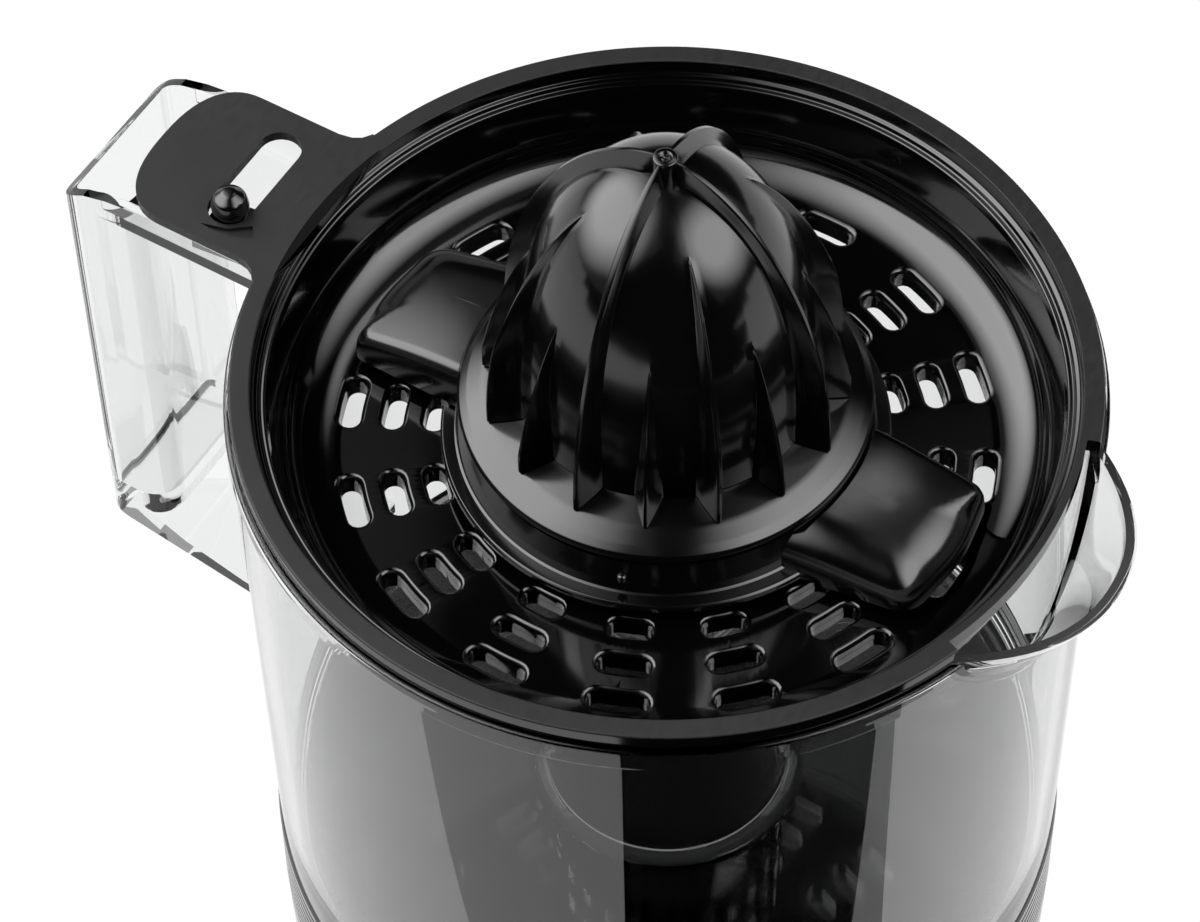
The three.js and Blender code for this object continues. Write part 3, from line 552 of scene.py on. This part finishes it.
def shutter():
    """The slotted disc under the floor, and the arm that climbs outside the bowl to the tab."""
    disc = lathe("shutter_full", [
        (27, -24.6), (65.8, -24.6), (66.2, -24.2), (65.3, -22.55), (27, -22.55),
    ])
    slots = [prism("slot", slot_outline(r, k * PITCH, SLOT_SPAN, SLOT_HALF), -26, -20)
             for r in SLOT_ROWS for k in range(SLOTS)]
    disc = boolean(disc, joined(*slots), "DIFFERENCE")
    arm = lathe("arm", [
        (62, -22.55), (65.6, -22.55), (69.3, -20.6), (72, -16.2), (76.3, -5), (77, -4.6),
        (95.6, -4.6), (95.6, -6.2), (77.6, -6.2), (73.4, -16.7), (70.3, -21.8), (66, -24.2),
        (62, -24.2),
    ])
    strip = prism("strip", [(-120, -5.4), (-50, -5.4), (-50, 5.4), (-120, 5.4)], -40, 0)
    arm = spin(boolean(arm, strip, "INTERSECT"), KNOB_TURN)
    disc = level(boolean(disc, arm, "UNION"))
    finish(disc, "gloss_black", "shutter", "pulp_shutter")


shutter()


def knob():
    """The ball on the shutter's arm, which a fingertip pushes along the tab's slot."""
    profile = rounded([
        (0, -4.3), (1.9, -4.3, 0.3), (1.9, -1.9, 0.4), (3.2, -0.7, 1.0), (3.7, 1.5, 1.8),
        (3.2, 3.9, 1.8), (1.3, 5.2, 1.5), (0, 5.3),
    ], 6, closed=False)
    x, y = turn(-KNOB_R, 0, KNOB_TURN)
    ball = lathe("knob", profile, 48, 60, centre=(x, y))
    finish(ball, "gloss_black", "shutter", "pulp_knob", look=satin)


knob()


# ---------------------------------------------------------------- cones

def superellipse(a, b, n, t):
    """The point at angle t down a dome of radius a, height b and fullness n."""
    return a * math.sin(t) ** (2 / n), b * math.cos(t) ** (2 / n)


def ribbed_cone(name, valley, crest, ribs, foot, shell, drop=0.0):
    """A hollow dome with V-shaped ribs. Each rib is the angle down the dome where it starts as
    a point, the angle it takes to rise to the crest, and its half-width at full height."""
    rows = 80
    angles = [math.pi / 2 * (0.02 + 0.98 * (k / rows) ** 1.1) for k in range(rows + 1)]
    section = ((0, 0.0), (0.08, 0.03), (0.3, 0.27), (0.55, 0.53), (0.8, 0.79), (0.93, 0.94),
               (1, 0.99))
    between = 5
    step = 2 * math.pi / len(ribs)

    def row(t, z_shift=0.0):
        rv, zv = superellipse(*valley, t)
        rc, zc = superellipse(*crest, t)
        flare = 0.66 + 0.46 * max(0, (t - 0.9) / 0.67) ** 2
        across, rises = [], []
        for start, length, half in ribs:
            rise = min(1, max(0, (t - start) / length))
            base = 0.2 + (half * flare - 0.2) * rise ** 0.85
            flat = base * (0.3 - 0.2 * t / 1.57 if start < 0 else 0.1)
            most = 0.36 if start < 0 else 0.16 if rise > 0 else 0.02
            k = min(1, most * max(rv, 1) / base) / max(rv, 1)
            across.append((base * k, flat * k))
            rises.append(rise ** 0.7)
        loop = []
        for i, ((base, flat), rise) in enumerate(zip(across, rises)):
            middle = i * step
            flank = [(base + (flat - base) * u, h) for u, h in section]
            whole = [(-u, h) for u, h in flank] + [(0, 1)] + flank[::-1]
            for u, h in whole:
                r = rv + (rc - rv) * h * rise
                z = zv + (zc - zv) * h * rise
                loop.append((r, middle + u, z + z_shift))
            a = middle + base
            b = middle + step - across[(i + 1) % len(ribs)][0]
            for j in range(1, between):
                loop.append((rv, a + (b - a) * j / between, zv + z_shift))
        return [(r * math.cos(a), r * math.sin(a), max(z, foot - 0.25 * max(0, r - 27)) + drop)
                for r, a, z in loop]

    loops = [row(t) for t in angles]
    last = row(math.pi / 2, foot - 9)
    loops.append(last)
    inner = []
    count = len(last)
    a, b, n = valley
    for t in angles[::-4]:
        r, z = superellipse(a - shell, b - shell, n, t)
        loop = []
        for x, y, _ in last:
            s = math.hypot(x, y)
            loop.append((r * x / s, r * y / s, max(z, foot) + drop))
        inner.append(loop)
    r = a - shell
    inner[0] = [(r * x / math.hypot(x, y), r * y / math.hypot(x, y), foot + drop)
                for x, y, _ in last]
    verts = [v for loop in loops + inner for v in loop]
    faces = []
    for i in range(len(loops + inner) - 1):
        p, q = i * count, (i + 1) * count
        faces += [[p + j, p + (j + 1) % count, q + (j + 1) % count, q + j] for j in range(count)]
    total = len(verts)
    verts += [(0, 0, loops[0][7][2]), (0, 0, b - shell + drop)]
    faces += [[total, (j + 1) % count, j] for j in range(count)]
    end = total - count
    faces += [[total + 1, end + j, end + (j + 1) % count] for j in range(count)]
    return make(name, verts, faces, 36)


def large_cone():
    """The ribbed cone for oranges, with ribs of three heights and a small hub at the top."""
    main, short, middle = (-1, 0.1, 2.3), (1.02, 0.5, 2.3), (0.50, 0.75, 2.3)
    cone = ribbed_cone(
        "large_cone_full", (28, 55.5, 2.3), (33.9, 60, 1.9), [main, short, middle, short] * 4,
        -0.35, 2.0,
    )
    hub = lathe("hub", rounded([
        (0, 51), (2.2, 51, 0.2), (2.2, 60.1, 0.35), (1.2, 60.25, 0.3), (0.75, 59.6, 0.2),
        (0.45, 59.7, 0.2), (0.3, 60.1, 0.2), (0, 60.15),
    ], 4, closed=False), 64, 40)
    spin(joined(cone, hub), CONE_TURN)
    finish(cone, "gloss_black", "large_cone", "large_cone", look=satin)


large_cone()


def small_cone():
    """The cone under the large one, with the domed flange, the boss and the scraper's key."""
    cone = ribbed_cone(
        "small_cone_full", (22.4, 45, 2.2), (25.0, 46.2, 2.0), [(0.5, 0.6, 1.9)] * 8,
        -0.5, 2.2, drop=-1.2,
    )
    flange = lathe("flange", rounded([
        (20.4, -3.2), (21.8, -0.6, 0.6), (27, -0.65, 2), (33.6, -2.4, 6), (36.6, -4.0, 2.4),
        (38.1, -5.0, 0.9), (38.45, -6.1, 0.4), (37.6, -6.5, 0.3), (37.1, -6.1, 0.3),
        (35.8, -5, 1), (32, -3.9, 1), (22, -3.3, 1),
    ], 6), 256, 40)
    boss = lathe("boss", rounded([
        (4.4, -26.6, 0.2), (7.8, -26.6, 0.5), (7.8, 20, 0.3), (4.4, 20, 0.3),
    ], 4), 64)
    key = prism("key", [(-11.3, -1.6), (11.3, -1.6), (11.3, 1.6), (-11.3, 1.6)], -8.2, -2.6)
    bore = lathe("bore", [(0, -27), (4.4, -27), (4.4, 20), (0, 20)], 48)
    key = boolean(key, bore, "DIFFERENCE")
    spin(cone, CONE_TURN)
    joined(cone, flange, boss, key)
    finish(cone, "gloss_black", "small_cone", "small_cone", look=satin)


small_cone()


# ---------------------------------------------------------------- scraper

def paddle(angle):
    """A hollow sweeping paddle with a crisp leading edge and a broad trailing round."""
    root, ridge_end, foot, steps = 33, 47, -17.1, 14
    outline = fine(rounded([
        (root, -17.4, 0), (50, -15.1, 6), (59.5, -13.6, 8), (61.6, 2, 30), (59.3, 15.5, 3.0),
        (root, 15.5, 0),
    ], 12), 1.5)
    loops = []
    for k in range(steps + 1):
        s = 0.97 * (k / steps) ** 1.6
        loop = []
        for x, y in outline:
            cx = min(max(x, root), ridge_end)
            d = math.hypot(x - cx, y) * s
            lead = max(0.0, min(1.0, (y - 8) / 6))
            fillet = 8.0 * (1 - lead) + 2.2 * lead
            u = min(1.0, d / fillet)
            px, py = x + (cx - x) * s, y - y * s
            top = -7.0 - 3.4 * max(0.0, (px - 36) / 22) ** 1.6 - 0.9 * (py / 16) ** 2
            z = foot + (top - foot) * (0.22 + 0.78 * math.sqrt(1 - (1 - u) ** 2))
            loop.append((px, py, z))
        loops.append(loop)
    skirt = [(x, y, -17.2) for x, y in outline]
    body = loft("paddle", [skirt] + loops, 50)
    return spin(body, angle)


def scraper():
    """The skirt with its ledge, stop and keyway, and the two paddles."""
    body = lathe("scraper_full", rounded([
        (9.6, -5.4, 0.3), (13, -5.4, 0.4), (13.2, -8.4, 0.4), (37.5, -8.3),
        (38.7, -15.2, 0.3), (39.2, -15.5, 0.15), (41.4, -15.4, 0.2),
        (41.8, -15.8, 0.15), (41.8, -17, 0.2), (37.4, -17, 0.2), (36.6, -9.7, 0.5),
        (9.6, -9.7, 0.3),
    ], 4), 256, 40)
    pimple = lathe("pimple", rounded([
        (0, -12.5), (0.9, -12.5), (0.9, -11.4, 0.5), (0, -10.9),
    ], 5, closed=False), 24, 60, centre=turn(38.2, 0, math.radians(-71)))
    gap = [(-45, -17.6), (-35.2, -17.6), (-36.2, -15.2), (-45, -15.2)]
    for side in (0, math.pi):
        cut = prism("gap", gap, -18, -15.1)
        body = boolean(body, spin(cut, side), "DIFFERENCE")
    keyway = prism("keyway", [(-11.9, -2), (11.9, -2), (11.9, 2), (-11.9, 2)], -12, 0)
    body = boolean(body, keyway, "DIFFERENCE")
    joined(body, pimple)
    for side in (0, math.pi):
        # Room for the flange above, which comes down by the length of the press.
        room = lathe("room", [(30, -8.5), (38.9, -8.5), (38.9, 0), (30, 0)], 192)
        part = boolean(paddle(side), room, "DIFFERENCE")
        shade(part, 50)
        joined(body, part)
    finish(body, "gloss_black", "scraper", "scraper", look=satin)


scraper()


# ---------------------------------------------------------------- jug

JUG_TOP = -3.5
BEAD = 4.8


def jug_profile():
    """The section of the jug's wall, floor and column."""
    floor = -124.0
    seam = -129.0
    points = rounded([
        (76.4, seam, 0.5), (79.3, seam, 0.5), (80.55, JUG_TOP - BEAD - 0.9, 0.4),
        (81.1, JUG_TOP - BEAD, 0.5), (81.1, JUG_TOP, 0.7), (78.3, JUG_TOP, 0.5),
        (78.2, JUG_TOP - BEAD, 1), (76.9, floor + 6, 3), (75.6, floor + 1.2, 3),
        (71, floor, 3), (27, floor, 3), (24.8, floor + 3, 2), (21.9, -29.5, 0.8),
        (19.6, -29.5, 0.6), (22.8, seam + 2.4, 2), (76.4, seam + 2.4, 0.5),
    ], 5)
    return fine(points, 7)


def grip_plan(inset):
    """The upright grip seen from above, drawn in by inset."""
    x0, x1, y = -GRIP_IN - inset, -HANDLE_REACH + inset, HANDLE_HALF - inset
    inner, outer = 9 - inset, 3.4 - inset * 0.7
    points = rounded([
        (x0, -y, inner), (x1, -y, outer), (x1, y, outer), (x0, y, inner),
    ], 10)
    return fine(points, 3)


def spout_loops(inset, top):
    """The pouring lip: loops from its top edge down to where it leaves the wall."""
    loops = []
    rows = 14
    for k in range(rows + 1):
        s = k / rows
        z = top if k == 0 else JUG_TOP - 0.4 - 27 * (1 - inset / 14) * s ** 1.1
        bulge = (1 - s) ** 1.35
        reach = (93 - 79) * bulge
        half = max(0.6, (28.3 - inset) * (1 - s ** 1.5) ** 0.8)
        loop = []
        for j in range(33):
            u = j / 16 - 1
            y = half * u
            lean = max(0.0, 1 - abs(u) ** 2.35) ** 0.92
            wall = math.sqrt(max(0, 79.2 ** 2 - y * y)) - inset
            loop.append((wall + reach * lean, y, z))
        loop += [(66, half, z), (66, -half, z)]
        loops.append(loop)
    return loops


def handle_top():
    """The outline of what lies above the arched edge of the handle's walls."""
    edge = [(-60, -2.5), (-104, -2.5), (-109, -2.7), (-113.5, -3.3), (-118.7, -4.8),
            (-122.6, -7.0), (-126, -9.6)]
    return edge + [(-126, 20), (-60, 20)]


def jug():
    """The clear moulding: its wall and column, the spout and the hollow handle."""
    arm = side_prism("arm", [(-78, 0), (-121, 0), (-121, -8.9), (-78, -8.9)], HANDLE_HALF)
    grip = prism("grip", grip_plan(0), -103, 0)
    plate = side_prism("plate", rounded([
        (-HANDLE_REACH, -97), (-HANDLE_REACH, -107.6, 6), (-78.2, -116.4), (-78.2, -113.6),
        (-91.5, -111), (-105.5, -107.0, 6), (-116, -101.8), (-116, -97),
    ], 8), HANDLE_HALF)
    plan = prism("plan", rounded([
        (-70, -HANDLE_HALF), (-HANDLE_REACH, -HANDLE_HALF, 3.4),
        (-HANDLE_REACH, HANDLE_HALF, 3.4), (-70, HANDLE_HALF),
    ], 10), -125, 5)
    handle = boolean(boolean(plate, plan, "INTERSECT"), arm, "UNION")
    handle = boolean(handle, grip, "UNION")
    handle = boolean(handle, side_prism("above", handle_top(), 40), "DIFFERENCE")
    lip = loft("lip", spout_loops(0, JUG_TOP + 0.9))
    core = lathe("core", [(0, -118), (77.4, -118), (77.6, 20), (0, 20)], 192)
    outer = boolean(boolean(handle, lip, "UNION"), core, "DIFFERENCE")
    body = boolean(lathe("jug_full", jug_profile(), 256), outer, "UNION")
    half = HANDLE_HALF - 2.0
    trough = prism("trough", [(-115, -half), (-70, -half), (-70, half), (-115, half)], -7.2, 20)
    body = boolean(body, trough, "DIFFERENCE")
    pocket = prism("pocket", grip_plan(1.9), -98, 20)
    body = boolean(body, pocket, "DIFFERENCE")
    channel = loft("channel", spout_loops(1.1, 12))
    body = boolean(body, channel, "DIFFERENCE")
    rest = lathe("rest", [(0, JUG_TOP), (80.4, JUG_TOP), (80.4, 20), (0, 20)], 192)
    sector = prism("sector", [(-120, -60), (40, -60), (74.6, -27.2), (74.6, 27.2), (40, 60),
                              (-120, 60)], JUG_TOP, 20)
    rest = boolean(rest, sector, "INTERSECT")
    body = boolean(body, rest, "DIFFERENCE")
    shade(body, 24)
    body = level(body)
    body.name = "jug_full"
    finish(body, "clear", "jug", "jug")


jug()


# ---------------------------------------------------------------- base

def base():
    """The ridged skirt, the deck and the tower that the jug's column drops over."""
    top = -129.3
    outside = []
    ridges = 8
    for k in range(ridges):
        z = top - 1.2 - 2.6 * k
        outside += [(79.72, z, 0.2), (79.72, z - 1.9, 0.4), (79.25, z - 2.2, 0.2)]
    profile = rounded([
        (76.2, -175.6, 0.2), (79.1, -176, 0.4), (79.6, -155, 3), *outside[::-1],
        (79.3, top, 0.6), (27, top, 1), (24, top, 1.2), (21.4, top + 3, 2),
        (18.4, -32.4, 1.6), (16.4, -30.5, 0.8), (8, -30.5, 0.4), (8, -40.5), (15.6, -40.5),
        (18.8, -127.8), (19.4, -131.8), (77.3, -131.8), (76.9, -175.6),
    ], 4)
    body = lathe("base_full", profile, 256, 30)
    finish(body, "base_black", "base", "base_housing")


base()


# ---------------------------------------------------------------- camera, floor and lights

def look(x, y, z, turn_by):
    """A direction or place seen from the camera's side, turned into the row frame."""
    px, py = turn(x, y, turn_by)
    return Vector((px, py, z))


VIEW_TURN = math.radians(32.52)
PITCH_DOWN = 0.92627  # radians, as is the roll
ROLL = -0.02233
SENSOR = 36  # millimetres, as are the lens and the offset
LENS = 138.5088
OFFSET = Vector((12.031, 16.2045, 842.002))  # the rim's centre from the eye: right, up, ahead


def camera():
    forward = Vector((0, math.cos(PITCH_DOWN), -math.sin(PITCH_DOWN)))
    up = Vector((0, math.sin(PITCH_DOWN), math.cos(PITCH_DOWN)))
    right = Vector((1, 0, 0))
    r = math.cos(ROLL) * right + math.sin(ROLL) * up
    u = -math.sin(ROLL) * right + math.cos(ROLL) * up
    eye = -(r * OFFSET.x + u * OFFSET.y + forward * OFFSET.z)
    eye, r, u, forward = (look(*v, VIEW_TURN) for v in (eye, r, u, forward))
    data = bpy.data.cameras.new("camera")
    data.sensor_width = SENSOR
    data.sensor_fit = "HORIZONTAL"
    data.lens = LENS
    data.clip_start = 0.01
    data.clip_end = 50
    obj = linked("camera", data)
    rotation = Matrix((r, u, -forward)).transposed().to_4x4()
    obj.matrix_world = Matrix.Translation(place(*eye)) @ rotation
    bpy.context.scene.camera = obj


camera()


def panel(name, corners, colour, strength, camera_sees=False):
    """A flat glowing or black card of the studio."""
    verts = [place(*c) for c in corners]
    mesh = bpy.data.meshes.new(name)
    mesh.from_pydata(verts, [], [list(range(len(verts)))])
    obj = linked(name, mesh)
    material = bpy.data.materials.new(name)
    material.use_nodes = True
    tree = material.node_tree
    shader = tree.nodes["Principled BSDF"]
    shader.inputs["Base Color"].default_value = (*colour, 1)
    shader.inputs["Roughness"].default_value = 0.9
    shader.inputs["Specular IOR Level"].default_value = 0.0
    shader.inputs["Emission Color"].default_value = (1, 1, 1, 1)
    shader.inputs["Emission Strength"].default_value = strength
    obj.data.materials.append(material)
    obj.visible_camera = camera_sees
    return obj


def soft_box(name, high, low, span, strength):
    """A long soft box on one side: its upper and lower edges as (x, z), its reach along Y."""
    verts = []
    rows = 12
    for k in range(rows + 1):
        t = k / rows
        x, z = high[0] + (low[0] - high[0]) * t, high[1] + (low[1] - high[1]) * t
        for y in span:
            verts.append(look(x, y, z + 0.18, VIEW_TURN) + Vector((AXIS_X / 1000, 0, 0)))
    faces = [[2 * k, 2 * k + 1, 2 * k + 3, 2 * k + 2] for k in range(rows)]
    mesh = bpy.data.meshes.new(name)
    mesh.from_pydata(verts, [], faces)
    glow = mesh.uv_layers.new(name="glow")
    for polygon in mesh.polygons:
        for loop in polygon.loop_indices:
            vertex = mesh.loops[loop].vertex_index
            glow.data[loop].uv = (vertex % 2, (vertex // 2) / rows)
    obj = linked(name, mesh)
    m = Nodes(name)
    m.set(Base_Color=(0, 0, 0, 1), Specular_IOR_Level=0.0, Emission_Color=(1, 1, 1, 1))
    uv = m.node("ShaderNodeUVMap")
    shift = m.node("ShaderNodeMapping")
    shift.inputs["Location"].default_value = (-1, -1, 0)
    shift.inputs["Scale"].default_value = (2, 2, 1)
    m.link(uv.outputs["UV"], shift.inputs["Vector"])
    ball = m.node("ShaderNodeTexGradient", gradient_type="SPHERICAL")
    m.link(shift.outputs["Vector"], ball.inputs["Vector"])
    fade = m.range(ball.outputs["Fac"], 0, 0.6, strength * 0.03, strength)
    m.feed("Emission Strength", fade)
    obj.data.materials.append(m.material)
    obj.visible_camera = False
    obj.visible_transmission = False


def cove():
    """The pale wall behind and beside the table, low down, so clear pieces stay bright."""
    verts = []
    steps = 24
    for k in range(steps + 1):
        a = math.radians(-75 - 190 * k / steps)
        for z in (-0.18, 0.32):
            verts.append(look(2.2 * math.sin(a), -2.2 * math.cos(a), z + 0.18, VIEW_TURN))
    faces = [[2 * k, 2 * k + 1, 2 * k + 3, 2 * k + 2] for k in range(steps)]
    mesh = bpy.data.meshes.new("cove")
    mesh.from_pydata(verts, [], faces)
    obj = linked("cove", mesh)
    m = Nodes("cove")
    m.set(Base_Color=(0, 0, 0, 1), Specular_IOR_Level=0.0, Emission_Color=(1, 1, 1, 1),
          Emission_Strength=0.9)
    obj.data.materials.append(m.material)
    obj.visible_camera = False


def reflected(azimuth, reach):
    """Where the floor is mirrored by the jug's wall at this azimuth from the camera's side."""
    a = math.radians(azimuth)
    x = 79 * math.sin(a) + reach * math.sin(2 * a)
    y = -79 * math.cos(a) - reach * math.cos(2 * a)
    return turn(x, y, VIEW_TURN)


def card(name, outline, height):
    """A black card lying on the floor, which only reflections or clear pieces see."""
    obj = panel(name, [(x, y, height - RIM_Z) for x, y in outline], (0, 0, 0), 0.0)
    obj.visible_diffuse = False
    obj.visible_shadow = False
    return obj


def studio():
    """The pale floor, three soft boxes, the cove and the black cards."""
    world = bpy.data.worlds.new("studio")
    world.use_nodes = True
    world.node_tree.nodes["Background"].inputs["Color"].default_value = (1, 1, 1, 1)
    world.node_tree.nodes["Background"].inputs["Strength"].default_value = 0.3
    bpy.context.scene.world = world
    world.cycles_visibility.glossy = False
    world.cycles_visibility.diffuse = False
    size = 4000
    floor = panel("floor", [(-size, -size, -RIM_Z), (size, -size, -RIM_Z), (size, size, -RIM_Z),
                            (-size, size, -RIM_Z)], (0.025, 0.025, 0.025), 0.98, True)
    floor.visible_shadow = False
    soft_box("left_box", (-0.1, 1.25), (-1.3, 0.1), (-0.95, 1.4), 5.6)
    soft_box("right_box", (0.22, 1.25), (1.3, 0.1), (-1.35, 0.55), 4.6)
    soft_box("top_box", (0.1, 1.3), (0.6, 1.15), (0.35, 1.0), 2.4)
    cove()
    front = [(-900, -95), (60, -95), (200, -160), (900, -300), (900, -1500), (-900, -1500)]
    flag = card("front_flag", [turn(x, y, VIEW_TURN) for x, y in front], 0.8)
    flag.visible_glossy = False
    dark = [reflected(-6.9, 0), reflected(-6.9, 900), reflected(14, 1100), reflected(31, 900),
            reflected(31, 0)]
    card("dark_side", dark, 0.6).visible_transmission = False
    # Painted shade: a black card beside the jug's right foot, seen only through the clear wall,
    # gives the dark streak below the spout.
    strip = [(78.3, 0), (83.4, 0), (92.3, 64), (84.2, 64)]
    strip = card("painted_shade_strip", [turn(x, y, VIEW_TURN) for x, y in strip], 1.0)
    strip.visible_glossy = False
    curtain = [(-1600, -180), (1600, -180), (1600, 20), (-1600, 20)]
    corners = [(*turn(x, -650, VIEW_TURN), z) for x, z in curtain]
    curtain = panel("curtain", corners, (0, 0, 0), 0.0)
    curtain.visible_diffuse = False
    curtain.visible_shadow = False
    curtain.visible_transmission = False


studio()
scene = bpy.context.scene
scene.view_settings.view_transform = "Standard"
